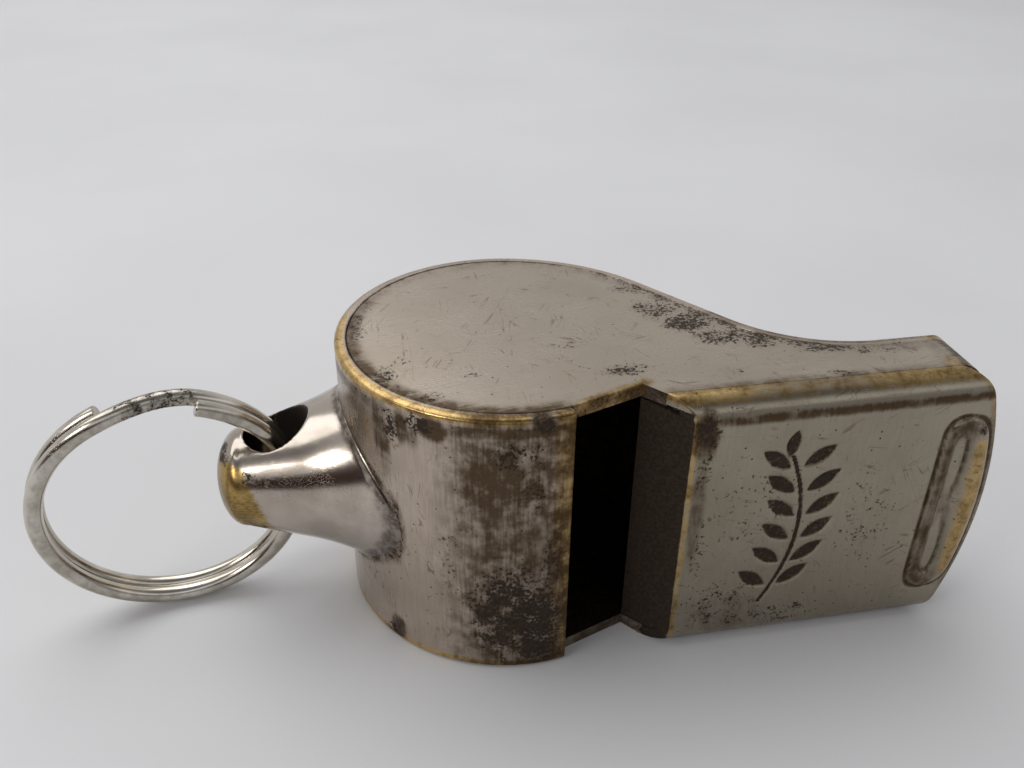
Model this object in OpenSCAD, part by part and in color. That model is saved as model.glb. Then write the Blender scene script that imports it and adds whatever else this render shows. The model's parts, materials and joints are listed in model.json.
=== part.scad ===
// Pea whistle of sheet brass, lying on its lower side plate.
// Origin: barrel axis on the outer face of the lower side plate.
// +Z is the barrel axis, +X points to the mouth end and -Y is the side of the sound window.

/* [Body] */
// Width between the outer faces of the two side plates
body_w = 20; // [18:0.5:22]
// Outside diameter of the barrel
barrel_d = 22.6; // [21.8:0.2:23.4]
// Thickness of the barrel strip and of the mouthpiece plate
sheet_t = 0.8; // [0.6:0.05:0.8]
// Thickness of each side plate
side_t = 0.9; // [0.7:0.1:1.1]

/* [Mouthpiece] */
// Distance from the barrel axis to the middle of the mouth end
mouth_reach = 30.5; // [29.5:0.1:32.5]
// Outside thickness of the mouthpiece at the mouth end
mouth_t = 5.8; // [5.8:0.1:6.4]
// Radius of the two long front edges
edge_r = 1.6; // [1.2:0.1:1.8]
// Slope of the back where it leaves the barrel, from the mouthpiece's length
slope_a = 55.5; // [52:0.5:58]
// Radius of the hollow in the back
hollow_r = 10; // [8:0.5:11]
// Width of the raised tooth grip, along the mouthpiece
grip_w = 3.6; // [2.8:0.1:3.8]
// Height of the tooth grip's bead over the plate
grip_h = 0.4; // [0.2:0.1:0.6]

/* [Sound window] */
// Angle of the lip past the barrel's foremost line, towards the mouthpiece
lip_a = 11.4; // [9:0.2:13]
// Distance from the barrel axis to the mouthpiece plate's bend
bend_x = 9.5; // [9.2:0.1:10.2]
// Depth of the notch in the side plates behind the mouthpiece's front face
notch_h = 2.9; // [2.5:0.1:3.1]
// Width of the slit that the air leaves by
slit_w = 1.3; // [1.0:0.1:1.5]

/* [Ring post] */
// Distance from the barrel axis to the post's nose
post_reach = 20; // [19.4:0.1:21]
// Distance from the barrel axis to the eye
eye_x = 15.7; // [15.4:0.1:16]
// Diameter of the eye
eye_d = 4.4; // [4.3:0.1:4.6]
// Radius of the post where its round nose begins
nose_r = 3.42; // [3.2:0.05:3.6]

/* [Split ring] */
// Outside diameter of the split ring
ring_d = 17.9; // [17.6:0.1:18.4]
// Diameter of its wire
wire_d = 1.15; // [1:0.05:1.15]
// Swing of the ring towards the window side
ring_swing = 7; // [0:1:20]
// Lean of the ring's plane from the eye's axis
ring_lean = 5; // [3:1:5]

/* [Pea] */
// Diameter of the cork pea
pea_d = 11; // [9:0.5:11.5]
// Direction of the pea from the barrel axis
pea_a = 200; // [150:5:220]

/* [Hidden] */
$fn = 96;

plating = [0.63, 0.58, 0.53];
bright = [0.75, 0.73, 0.7];
cork = [0.72, 0.53, 0.33];
barrel_r = barrel_d / 2;
chamber_r = barrel_r - sheet_t;
mid_z = body_w / 2;
front_y = -barrel_r - 0.1;
back_y = front_y + mouth_t;
past = 40;
joint_gap = 0.01;

// The back's straight slope lies slope_d from the barrel axis, along the direction slope_n.
slope_d = barrel_r + 0.7;
slope_n_a = 90 - slope_a;
slope_n = [cos(slope_n_a), sin(slope_n_a)];
// A wider arc leads from the barrel, at leave_a, to the slope.
leave_a = 80;
leave_c = cos(leave_a - slope_n_a);
blend_r = (slope_d - barrel_r * leave_c) / (1 - leave_c);
blend_c = (barrel_r - blend_r) * [cos(leave_a), sin(leave_a)];
// The hollow's arc touches the slope and the back of the mouthpiece.
hollow_y = back_y + hollow_r;
hollow_c = [(slope_d + hollow_r - hollow_y * slope_n.y) / slope_n.x, hollow_y];

lip_n = [sin(lip_a), -cos(lip_a)];
bend_p = [bend_x, front_y];
ramp_w = 2.6;
notch_p = bend_p + [-ramp_w, notch_h];
ramp_l = norm(notch_p - bend_p);
// Direction across the ramp, towards the windway
ramp_n = [notch_h, ramp_w] / ramp_l;
ramp_end = notch_p + sheet_t * ramp_n;

tongue_t = 0.6;
tongue_start = atan2(ramp_end.y, ramp_end.x) + 2 * asin(slit_w / 2 / chamber_r);
tongue_end = 48;

mouth_arc_r = 27.5;
mouth_corner_r = 1.8;
grip_bead = 1;
grip_edge = 0.45;
grip_top = 2.9;
grip_corner_r = 1.3;

post_taper = 0.3;
flare_start = 14;
flare_k = 0.03;
nose_l = 1.8;
nose_start = post_reach - nose_l;

ring_r = (ring_d - wire_d) / 2;
coil_pitch = wire_d - 0.1;
ring_past_eye = 0.8;
ring_lift = 0.25;
ring_z = (ring_d / 2) * cos(ring_lean) + (coil_pitch / 2) * sin(ring_lean) + ring_lift;
groove_w = wire_d / 2;
// The wire's two ends face each other across the crossover.
end_a = 112;
cross_a = 40;
cross_lap = 2.5;
cross_d = 0.9 * wire_d;
cross_tilt = atan(coil_pitch / (2 * ring_r * sin(cross_a / 2)));

pea_clear = 0.3;
pea_r = pea_d / 2;
pea_orbit = chamber_r - pea_r - pea_clear;

// Plan of the whole body, set in by i from its outside
module plan(i) {
    touch_slope = blend_c + (blend_r - i) * slope_n;
    touch_hollow = hollow_c - (hollow_r + i) * slope_n;
    circle(r = barrel_r - i);
    intersection() {
        translate(blend_c) circle(r = blend_r - i);
        polygon([blend_c, blend_c + past * [cos(slope_n_a - 5), sin(slope_n_a - 5)],
                 blend_c + past * [cos(leave_a), sin(leave_a)]]);
    }
    difference() {
        polygon([blend_c, [0, front_y + i], [past + i, front_y + i], [past + i, back_y - i],
                 [hollow_c.x, back_y - i], touch_hollow, touch_slope]);
        translate(hollow_c) circle(r = hollow_r + i);
    }
}

// Rounded rectangle from corner a to corner b
module round_rect(a, b, r) {
    translate(a + [r, 0]) square(b - a - [2 * r, 0]);
    translate(a + [0, r]) square(b - a - [0, 2 * r]);
    for (x = [a.x + r, b.x - r], z = [a.y + r, b.y - r]) translate([x, z]) circle(r = r);
}

// Stands an X-Z drawing up and gives it the depth from y0 to y1
module along_y(y0, y1) {
    translate([0, y1, 0]) rotate([90, 0, 0]) linear_extrude(y1 - y0) children();
}

// Mouth end seen from the window side, set in by i: a shallow arc between two rounded corners
module mouth_outline(i) {
    arc_c = [mouth_reach - mouth_arc_r, mid_z];
    corner_a = asin((mid_z - mouth_corner_r) / (mouth_arc_r - mouth_corner_r));
    corner_x = arc_c.x + (mouth_arc_r - mouth_corner_r) * cos(corner_a);
    translate([-past, i]) square([past + corner_x, body_w - 2 * i]);
    for (z = [mouth_corner_r, body_w - mouth_corner_r])
        translate([corner_x, z]) circle(r = mouth_corner_r - i);
    intersection() {
        translate(arc_c) circle(r = mouth_arc_r - i);
        polygon([arc_c, arc_c + 2 * past * [1, -tan(corner_a)], arc_c + 2 * past * [1, tan(corner_a)]]);
    }
}

// Everything inside the curved mouth end
module mouth_end() {
    along_y(-past, past) mouth_outline(0);
}

// Outline of the D-shaped tooth grip, set in by i
module grip_outline(i) {
    intersection() {
        mouth_outline(grip_edge + i);
        round_rect([mouth_reach - grip_edge - grip_w + i, grip_top + i],
                   [past, body_w - grip_top - i], grip_corner_r - i);
    }
}

module grip_bead(y0, y1) {
    along_y(y0, y1) difference() {
        grip_outline(0);
        grip_outline(grip_bead);
    }
}

module side_plate() {
    linear_extrude(side_t) difference() {
        plan(sheet_t + joint_gap);
        polygon([past * lip_n, (chamber_r - joint_gap) * lip_n, notch_p, 2 * bend_p - notch_p]);
        translate([notch_p.x, -past]) square([past, past + front_y + edge_r + joint_gap]);
    }
}

module lower_side_plate() {
    color(plating) intersection() {
        side_plate();
        mouth_end();
    }
}

module upper_side_plate() {
    color(plating) intersection() {
        translate([0, 0, body_w - side_t]) side_plate();
        mouth_end();
    }
}

// Strip from the lip round the barrel and along the back, with the rear tooth grip
module barrel_strip() {
    color(plating) {
        intersection() {
            linear_extrude(body_w) difference() {
                plan(0);
                plan(sheet_t);
                polygon([[0, 0], past * lip_n, [past, -past], [2 * past, front_y + 3], [14, front_y + 3]]);
            }
            mouth_end();
        }
        grip_bead(back_y - sheet_t / 2, back_y + grip_h);
    }
}

// Section of the mouthpiece plate: a flat face and two rounded edges
module plate_section() {
    difference() {
        round_rect([front_y, 0], [front_y + past, body_w], edge_r);
        round_rect([front_y + sheet_t, sheet_t], [past, body_w - sheet_t], edge_r - sheet_t);
        translate([front_y + edge_r, -1]) square([2 * past, body_w + 2]);
    }
}

module mouthpiece_plate() {
    color(plating) {
        intersection() {
            rotate([90, 0, 90]) linear_extrude(past) plate_section();
            linear_extrude(body_w) polygon([bend_p - (notch_p - bend_p), notch_p, [past, notch_p.y],
                                            [past, front_y - 3]]);
            mouth_end();
        }
        translate([0, 0, side_t + joint_gap]) linear_extrude(body_w - 2 * (side_t + joint_gap))
            polygon([bend_p, notch_p, ramp_end, bend_p + [sheet_t / ramp_n.x, 0]]);
        grip_bead(front_y - grip_h, front_y + sheet_t / 2);
    }
}

// Curved tongue that closes the chamber and leaves the slit for the air
module windway_tongue() {
    color(plating) translate([0, 0, side_t + joint_gap])
        linear_extrude(body_w - 2 * (side_t + joint_gap)) intersection() {
            plan(sheet_t + joint_gap);
            difference() {
                circle(r = chamber_r + tongue_t);
                circle(r = chamber_r);
            }
            polygon([[0, 0], past * [cos(tongue_start), sin(tongue_start)], [2 * past, 0],
                     past * [cos(tongue_end), sin(tongue_end)]]);
        }
}

// Radius of the post at the distance s from the barrel axis
function post_r(s) = nose_r + post_taper * (nose_start - s) + flare_k * pow(max(0, flare_start - s), 2);

module ring_post() {
    flare = [for (s = [8 : 0.75 : nose_start]) [post_r(s), s]];
    nose = [for (a = [0 : 10 : 90]) [nose_r * cos(a), nose_start + nose_l * sin(a)]];
    color(bright) difference() {
        translate([0, 0, mid_z]) rotate([0, -90, 0]) rotate_extrude()
            polygon(concat([[0, 8]], flare, nose));
        translate([0, 0, -1]) cylinder(r = barrel_r + joint_gap, h = body_w + 2);
        translate([-eye_x, 0, -1]) cylinder(d = eye_d, h = body_w + 2);
    }
}

// Two turns of wire side by side, and the wire that crosses over between them
module coils() {
    turns_a = 360 - cross_a;
    rotate([0, 0, end_a]) rotate_extrude(angle = turns_a) {
        for (side = [-1, 1]) translate([ring_r, side * coil_pitch / 2]) circle(d = wire_d, $fn = 24);
        translate([ring_r, 0]) square([groove_w, coil_pitch], center = true);
    }
    rotate([0, 0, end_a - cross_a / 2]) rotate([cross_tilt, 0, 0]) rotate([0, 0, -cross_a / 2 - cross_lap])
        rotate_extrude(angle = cross_a + 2 * cross_lap) translate([ring_r, 0]) circle(d = cross_d, $fn = 24);
}

module split_ring() {
    color(bright) translate([-eye_x, 0, ring_z]) rotate([0, 0, ring_swing])
        translate([ring_past_eye - ring_r, 0, 0]) rotate([90 + ring_lean, 0, 0]) coils();
}

module pea() {
    color(cork) rotate([0, 0, pea_a]) translate([pea_orbit, 0, side_t + pea_r + 0.1]) sphere(r = pea_r);
}

upper_side_plate();
lower_side_plate();
barrel_strip();
mouthpiece_plate();
windway_tongue();
ring_post();
split_ring();
pea();
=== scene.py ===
import json
import math

import bmesh
import bpy
import numpy as np
from mathutils import Matrix, Vector, geometry


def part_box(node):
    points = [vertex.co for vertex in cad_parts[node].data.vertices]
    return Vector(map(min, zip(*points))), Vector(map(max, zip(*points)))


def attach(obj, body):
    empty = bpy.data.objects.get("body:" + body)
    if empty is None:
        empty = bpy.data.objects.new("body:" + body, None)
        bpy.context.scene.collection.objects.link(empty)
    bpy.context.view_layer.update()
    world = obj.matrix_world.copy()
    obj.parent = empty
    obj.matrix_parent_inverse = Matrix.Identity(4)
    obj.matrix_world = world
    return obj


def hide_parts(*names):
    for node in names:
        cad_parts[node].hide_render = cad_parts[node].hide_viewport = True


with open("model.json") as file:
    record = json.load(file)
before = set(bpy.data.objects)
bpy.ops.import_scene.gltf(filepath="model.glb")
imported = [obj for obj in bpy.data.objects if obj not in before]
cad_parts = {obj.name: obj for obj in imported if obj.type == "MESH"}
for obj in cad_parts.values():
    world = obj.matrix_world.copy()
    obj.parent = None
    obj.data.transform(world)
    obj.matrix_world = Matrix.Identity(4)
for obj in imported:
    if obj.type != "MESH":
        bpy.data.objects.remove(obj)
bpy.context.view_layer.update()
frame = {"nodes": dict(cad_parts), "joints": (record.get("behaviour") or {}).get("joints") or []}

# Lengths below are in millimetres until a mesh is made.
MM = 0.001


def node_box(name):
    low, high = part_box(name)
    return np.array(low) / MM, np.array(high) / MM


def polar(degrees, radius=1.0):
    a = np.radians(degrees)
    return radius * np.stack([np.cos(a), np.sin(a)], -1)


def unit_rows(rows):
    return rows / np.linalg.norm(rows, axis=1)[:, None]


def smooth(low, high, value):
    """0 below low, 1 above high and a smooth change between them; low may be the larger."""
    t = np.clip((np.asarray(value, float) - low) / (high - low), 0, 1)
    return t * t * (3 - 2 * t)


# ---- sizes
strip_low, strip_high = node_box("barrel_strip")
post_low = node_box("ring_post")[0]
ring_low, ring_high = node_box("split_ring")
pea_low, pea_high = node_box("pea")
joints = {joint["name"]: joint for joint in frame["joints"]}

BARREL_R = -strip_low[0]
BODY_W = strip_high[2]
REACH = strip_high[0]
MID_Z = BODY_W / 2
SHEET_T = 0.8
SIDE_T = 0.9
SEAM = 0.01
WALL = SIDE_T + SEAM
CHAMBER_R = BARREL_R - SHEET_T
FRONT_Y = -BARREL_R - 0.1
MOUTH_DEPTH = 5.8
BACK_Y = FRONT_Y + MOUTH_DEPTH
EDGE_R = 1.6

# The outline's arcs: barrel, the wider arc behind it, the straight slope and the hollow
LIP_A = 11.4
LEAVE_A = 80.0
SLOPE_N_A = 34.5
SLOPE_N = polar(SLOPE_N_A)
SLOPE_D = BARREL_R + 0.7
LEAVE_C = math.cos(math.radians(LEAVE_A - SLOPE_N_A))
BLEND_R = (SLOPE_D - BARREL_R * LEAVE_C) / (1 - LEAVE_C)
BLEND_C = polar(LEAVE_A, BARREL_R - BLEND_R)
HOLLOW_R = 10.0
HOLLOW_Y = BACK_Y + HOLLOW_R
HOLLOW_C = np.array([(SLOPE_D + HOLLOW_R - HOLLOW_Y * SLOPE_N[1]) / SLOPE_N[0], HOLLOW_Y])

# The window's notch and the ramp behind the bend
BEND_X = 9.5
RAMP_W = 2.6
NOTCH_H = 2.9
RAMP_L = math.hypot(RAMP_W, NOTCH_H)
RAMP_DIR = np.array([-RAMP_W, NOTCH_H]) / RAMP_L
RAMP_N = np.array([NOTCH_H, RAMP_W]) / RAMP_L
NOTCH = np.array([BEND_X - RAMP_W, FRONT_Y + NOTCH_H])
LIP = polar(LIP_A - 90)

# The mouth end: a shallow arc between two rounded corners
MOUTH_R = 27.5
CORNER_R = 1.8
MOUTH_X = REACH - MOUTH_R
CORNER_A = math.asin((MID_Z - CORNER_R) / (MOUTH_R - CORNER_R))
CORNER_X = MOUTH_X + (MOUTH_R - CORNER_R) * math.cos(CORNER_A)
GRIP_EDGE = 0.45
GRIP_W = 3.6
GRIP_LEFT = REACH - GRIP_EDGE - GRIP_W
GRIP_TOP = 2.9

EYE_X = -joints["ring_swing"]["pos_m"][0] / MM
EYE_R = 2.2
POST_REACH = -post_low[0]
NOSE_L = 1.8
NOSE_R = 3.42
NOSE_START = POST_REACH - NOSE_L

WIRE_R = 0.575
COIL_PITCH = 1.05
RING_D = 17.9
RING_R = RING_D / 2 - WIRE_R
RING_PAST_EYE = 0.8
RING_SWING = 7.0
RING_LEAN = 5.0
END_A = 112.0
CROSS_A = 40.0
END_CHAMFER = 0.08


def mouth_x(z):
    """x of the mouth end at the height z."""
    off = np.abs(z - MID_Z)
    arc = MOUTH_X + np.sqrt(MOUTH_R**2 - off**2)
    corner = CORNER_X + np.sqrt(np.maximum(CORNER_R**2 - (off - MID_Z + CORNER_R) ** 2, 0))
    return np.where(off > MOUTH_R * math.sin(CORNER_A), corner, arc)


# ---- meshes
def grid_faces(rows, columns, close_rows=False, close_columns=False):
    i = np.arange(rows if close_rows else rows - 1)[:, None]
    j = np.arange(columns if close_columns else columns - 1)[None, :]
    i2, j2 = (i + 1) % rows, (j + 1) % columns
    corners = [i * columns + j, i * columns + j2, i2 * columns + j2, i2 * columns + j]
    return np.stack(corners, -1).reshape(-1, 4)


# The third mark is a soft dark film: stains, and painted shade where the code puts it.
MARKS = ("wear", "grime", "film_and_painted_shade")


def set_marks(mesh, marks):
    for label, values in zip(MARKS, marks):
        old = mesh.attributes.get(label)
        if old:
            mesh.attributes.remove(old)
        layer = mesh.attributes.new(label, "FLOAT", "POINT")
        values = np.broadcast_to(np.asarray(values, np.float32), len(mesh.vertices))
        layer.data.foreach_set("value", np.ascontiguousarray(values))


def link_object(name, data):
    obj = bpy.data.objects.new(name, data)
    bpy.context.scene.collection.objects.link(obj)
    return obj


def make_object(name, parts, sharp=40, unit=MM):
    """One object from parts of (points, faces, marks); the marks are each point's wear, grime, and film with
    painted shade.
    """
    points, faces, marks, start = [], [], [], 0
    for part_points, part_faces, part_marks in parts:
        points.append(np.asarray(part_points, float))
        faces.extend((np.asarray(f) + start).tolist() for f in part_faces)
        marks.append(np.stack([np.broadcast_to(mark, len(part_points)) for mark in part_marks]))
        start += len(part_points)
    mesh = bpy.data.meshes.new(name)
    mesh.from_pydata((np.concatenate(points) * unit).tolist(), [], faces)
    set_marks(mesh, np.concatenate(marks, 1))
    clean(mesh, 0.002 * unit)
    mesh.shade_smooth()
    mesh.set_sharp_from_angle(angle=math.radians(sharp))
    return link_object(name, mesh)


def clean(mesh, merge):
    bm = bmesh.new()
    bm.from_mesh(mesh)
    bmesh.ops.remove_doubles(bm, verts=bm.verts, dist=merge)
    bmesh.ops.dissolve_degenerate(bm, edges=bm.edges, dist=merge / 4)
    bmesh.ops.recalc_face_normals(bm, faces=bm.faces)
    bm.to_mesh(mesh)
    bm.free()


def finish_piece(obj, material, node, body):
    obj.data.materials.clear()
    obj.data.materials.append(material)
    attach(obj, body)
    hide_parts(node)


def blob(points, centre, radii, strength=1.0):
    """A soft patch: strength at its centre, 0 from one radius out."""
    d = np.sqrt((((points - np.array(centre)) / np.array(radii)) ** 2).sum(-1))
    return strength * smooth(1.0, 0.25, d)


def patches(points, *blobs):
    total = np.zeros(len(points))
    for centre, radii, strength in blobs:
        total = np.maximum(total, blob(points, centre, radii, strength))
    return total


# ---- outline
def outline(step=0.25):
    """Stations (point, inward normal) from the lip round the barrel to the end of the hollow."""
    points, normals = [], []

    def arc(centre, radius, first, last, inward):
        count = max(3, round(abs(math.radians(last - first)) * radius / step))
        ray = polar(np.linspace(first, last, count + 1))
        points.append(centre + radius * ray)
        normals.append(inward * ray)

    arc(np.zeros(2), BARREL_R, LIP_A - 90, LEAVE_A - 360, -1)
    arc(BLEND_C, BLEND_R, LEAVE_A, SLOPE_N_A, -1)
    arc(HOLLOW_C, HOLLOW_R, SLOPE_N_A + 180, 270, 1)
    barrel, blend, hollow = points
    count = round(np.linalg.norm(hollow[0] - blend[-1]) / step)
    t = np.linspace(0, 1, count + 1)[1:-1, None]
    slope = blend[-1] + t * (hollow[0] - blend[-1])
    xy = np.concatenate([barrel, blend[1:], slope, hollow])
    n = np.concatenate([normals[0], normals[1][1:], np.broadcast_to(-SLOPE_N, slope.shape), normals[2]])
    return xy, n


# ---- tooth grip and stamps
def smooth_max(values, width):
    top = values[0]
    for value in values[1:]:
        h = np.maximum(width - np.abs(top - value), 0) / width
        top = np.maximum(top, value) + h * h * width / 4
    return top


def grip(x, z):
    """Tooth grip, a bead that is wide on the mouth side: (height over the plate, wear, grime, film with
    painted shade).
    """
    inside = smooth_max([GRIP_LEFT - x, GRIP_TOP - z, z - BODY_W + GRIP_TOP,
                         np.hypot(x - MOUTH_X, z - MID_Z) - MOUTH_R + GRIP_EDGE], 1.6)
    right = smooth(GRIP_LEFT + 1.0, GRIP_LEFT + 2.4, x - 0.12 * (np.abs(z - MID_Z) - 4))
    width = 0.75 + 0.75 * right
    across = (inside + width / 2) / (width / 2)
    bead = np.sqrt(np.maximum(1 - across**2, 0))
    height = bead * (0.26 + 0.14 * right)
    groove = np.exp(-(((inside - 0.12) / 0.16) ** 2))
    inner_groove = np.exp(-(((inside + width + 0.05) / 0.14) ** 2))
    height = height - 0.06 * groove - 0.04 * inner_groove
    top_end = smooth(MID_Z + 5.4, MID_Z + 6.2, z) * smooth(MID_Z + 7.6, MID_Z + 6.8, z) * right * bead
    worn_part = smooth(GRIP_TOP + 0.3, GRIP_TOP + 1.5, z) * smooth(MID_Z + 6.4, MID_Z + 5.2, z)
    wear = 1.25 * bead * right * worn_part
    # Grooves, the narrow left leg and the top end are darkened: dirt, and painted shade in the film standing
    # in for the bead's own shading.
    grime = np.maximum(0.36 * groove, 0.7 * top_end)
    film_and_painted_shade = np.maximum.reduce([0.95 * groove, 0.6 * inner_groove, 0.8 * bead * (1 - right), 0.95 * top_end])
    return height, 0.5 * wear, grime, np.maximum(film_and_painted_shade, 0.35 * wear)


def leaf(x, z, centre, turn, length, width):
    """A pointed leaf-shaped punch: 1 in its middle, 0 outside."""
    c, s = math.cos(math.radians(turn)), math.sin(math.radians(turn))
    u = (c * (x - centre[0]) + s * (z - centre[1])) / (length / 2)
    v = (c * (z - centre[1]) - s * (x - centre[0])) / (width / 2)
    edge = np.abs(v) - np.maximum(1 - u * u, 0)
    return smooth(0.12, -0.35, edge) * (np.abs(u) < 1.05)


SPRIG_DEPTH = 0.1
STEM_X = 17.4
STEM_LOW = 3.4
STEM_HIGH = BODY_W - 4.3
LEAF_PAIRS = 6
LEAF_STEP = 1.95


def stem_x(z):
    return STEM_X - 0.042 * (z - MID_Z) ** 2


def sprig(x, z):
    """Stamped ornament: a plain sprig of leaf punches on a curved stem."""
    mark = smooth(0.2, 0.1, np.abs(x - stem_x(z)))
    mark *= smooth(STEM_LOW - 0.2, STEM_LOW, z) * smooth(STEM_HIGH, STEM_HIGH - 0.3, z)
    for k in range(LEAF_PAIRS):
        at_z = STEM_LOW + 1.3 + LEAF_STEP * k
        for side in (-1, 1):
            centre = (stem_x(at_z) + side * 1.42, at_z + 0.85)
            mark = np.maximum(mark, leaf(x, z, centre, 90 - side * 54, 2.7, 1.15))
    return np.maximum(mark, leaf(x, z, (stem_x(STEM_HIGH), STEM_HIGH + 0.7), 80, 2.2, 1.05))


# ---- side plates
def inside_polygon(points, polygon):
    x, y = points[:, None, 0], points[:, None, 1]
    ax, ay = polygon[None, :, 0], polygon[None, :, 1]
    bx, by = np.roll(ax, -1, 1), np.roll(ay, -1, 1)
    crosses = (ay > y) != (by > y)
    at = ax + (y - ay) * (bx - ax) / np.where(by == ay, 1e-9, by - ay)
    return (crosses & (x < at)).sum(1) % 2 == 1


def plate_loop(z, extra=0.0):
    """Edge of a side plate at the height z, set in by extra from the strip and from the notch."""
    xy, n = outline(0.3)
    inset = SHEET_T + SEAM + extra
    body = xy + inset * n
    end_x = float(mouth_x(z)) - extra * 0.2
    back, front = BACK_Y - inset, FRONT_Y + EDGE_R + SEAM + extra * 0.3
    straight = np.stack([np.linspace(body[-1, 0], end_x, 16)[1:], np.full(15, back)], -1)
    end = np.stack([np.full(12, end_x), np.linspace(back, front, 13)[1:]], -1)
    ramp_foot = BEND_X - RAMP_W * (front - FRONT_Y) / NOTCH_H - extra
    border = np.stack([np.linspace(end_x, ramp_foot, 50)[1:], np.full(49, front)], -1)
    corner = NOTCH + np.array([-0.1, 1.0]) * extra
    rise = border[-1] + np.linspace(0, 1, 6)[1:, None] * (corner - border[-1])
    lip = (CHAMBER_R - SEAM) * LIP + np.array([-1.0, 0.3]) * extra
    notch = corner + np.linspace(0, 1, 18)[1:-1, None] * (lip - corner)
    return np.concatenate([body, straight, end, border, rise, notch])


def fill_loop(loop, step):
    """Triangles inside a closed loop, with extra points on a grid."""
    low, high = loop.min(0), loop.max(0)
    x, y = np.meshgrid(np.arange(low[0], high[0], step), np.arange(low[1], high[1], step))
    x = x + (np.arange(len(x)) % 2)[:, None] * step / 2
    spots = np.stack([x.ravel(), y.ravel()], -1)
    near = np.sqrt(((spots[:, None] - loop[None, ::2]) ** 2).sum(-1)).min(1)
    spots = spots[inside_polygon(spots, loop) & (near > step * 0.7)]
    all_points = [Vector(p) for p in np.concatenate([loop, spots])]
    edges = [(i, (i + 1) % len(loop)) for i in range(len(loop))]
    points, _, faces, _, _, _ = geometry.delaunay_2d_cdt(all_points, edges, [], 1, 1e-6, False)
    points, faces = np.array([tuple(p) for p in points]), np.array(faces)
    return points, faces[inside_polygon(points[faces].mean(1), loop)]


def at_height(flat, z):
    return np.column_stack([flat, np.full(len(flat), z)])


def side_plate(name, material, upper):
    """Inset plate: a wall with a rounded upper edge, a fine outer face and a coarse inner face."""
    levels = [(SIDE_T, 0.0), (0.6, 0.0), (0.35, 0.0), (0.15, 0.0), (0.06, 0.01), (0.0, 0.08)]
    loops = [at_height(plate_loop(BODY_W - below, extra), BODY_W - below) for below, extra in levels]
    parts = [(np.concatenate(loops), grid_faces(len(loops), len(loops[0]), close_columns=True))]
    for loop, step in ((loops[-1], 0.32), (loops[0], 1.2)):
        flat, faces = fill_loop(loop[:, :2], step)
        parts.append((at_height(flat, loop[0, 2]), faces))
    shown = []
    for points, faces in parts:
        marks = upper_plate_marks(points) if upper else lower_plate_marks(points)
        if not upper:
            points = points * [1, 1, -1] + [0, 0, BODY_W]
        shown.append((points, faces, marks))
    obj = make_object(name.replace("plate", "sheet"), shown)
    finish_piece(obj, material, name, "whistle")


def rim_distance(points):
    """Distance from the body's outside round the barrel and along the back, in plan."""
    xy, _ = outline(0.5)
    line = np.concatenate([xy, np.stack([np.linspace(xy[-1, 0], REACH, 20), np.full(20, BACK_Y)], -1)])
    return np.sqrt(((points[:, None, :2] - line[None]) ** 2).sum(-1)).min(1)


def upper_plate_marks(points):
    flat = points[:, :2]
    x, y = flat.T
    top = points[:, 2] > BODY_W - 0.02
    grime = patches(
        flat,
        ((-9.8, 1.4), (1.3, 4.4), 0.46), ((-8.4, -5.2), (1.5, 2.8), 0.5), ((-6.0, -7.8), (2.8, 1.1), 0.46),
        ((-7.2, -4.0), (2.4, 2.0), 0.34),
        ((6.3, -6.8), (3.4, 1.3), 0.56), ((9.2, 4.2), (2.4, 1.2), 0.5), ((3.4, -3.1), (3.0, 1.1), 0.4),
        ((10.6, 1.0), (3.0, 2.8), 0.55), ((12.2, -1.4), (3.2, 2.6), 0.64), ((13.6, -3.6), (3.4, 2.2), 0.56),
        ((16.4, -4.6), (4.4, 1.7), 0.58), ((19.9, -6.2), (4.2, 1.2), 0.52), ((23.0, -7.0), (3.4, 1.1), 0.48),
        ((19.2, -9.4), (2.2, 0.9), 0.46), ((-3.1, -5.8), (1.2, 0.7), 0.42), ((12.5, -8.2), (3.0, 1.4), 0.36),
    )
    rim = rim_distance(points)
    seam = smooth(1.0, 0.84, rim)
    hollow = smooth(3.4, 0.5, rim) * smooth(7.0, 9.5, x) * smooth(27.0, 21.0, x) * (y > -8.4)
    left = smooth(2.6, 0.5, rim) * smooth(-3.0, -7.0, x)
    grime = np.maximum.reduce([grime, 0.6 * hollow, 0.42 * left, seam * (0.42 + 0.2 * smooth(6.0, 14.0, x))])
    notch_edge = np.abs((flat - NOTCH) @ np.array([-0.35, 0.94]))
    near_notch = smooth(0.9, 0.1, notch_edge) * smooth(1.5, 2.6, x) * smooth(8.5, 7.0, x)
    front = smooth(-8.6, -9.8, y) * smooth(6.8, 8.6, x)
    mouth = smooth(2.4, 0.2, mouth_x(BODY_W) - x)
    wear = np.maximum.reduce([0.42 * front, 0.62 * near_notch, 0.55 * mouth * smooth(-7.0, -9.4, y)])
    smudge_side = smooth(4.0, 1.0, x) * smooth(7.5, 4.0, y)
    film_and_painted_shade = np.maximum.reduce([
        0.85 * smooth(2.4, 0.95, rim) * smudge_side, 0.75 * seam, 0.55 * near_notch, 0.6 * front,
        0.4 * mouth, 0.42 * smooth(3.2, 1.0, rim), 0.7 * grime,
    ])
    film_and_painted_shade = np.where(top, film_and_painted_shade, 0.8 - 0.3 * near_notch)
    return wear, np.where(top, grime, np.maximum(grime, 0.35)), film_and_painted_shade


def lower_plate_marks(points):
    flat = points[:, :2]
    grime = patches(flat, ((-4, 5), (5, 3), 0.5), ((5, -3), (4, 4), 0.42), ((14, -6), (5, 3), 0.5))
    rim = rim_distance(points)
    seam = smooth(1.05, 0.85, rim)
    top = points[:, 2] > BODY_W - 0.02
    film_and_painted_shade = np.where(top, np.maximum(0.6 * seam, 0.5 * grime), 0.7)
    return 0.45 * smooth(2.2, 0.9, rim), np.maximum(grime, 0.5 * seam), film_and_painted_shade


# ---- barrel strip
RIM_R = 0.34
END_EASE = 0.07


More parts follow.
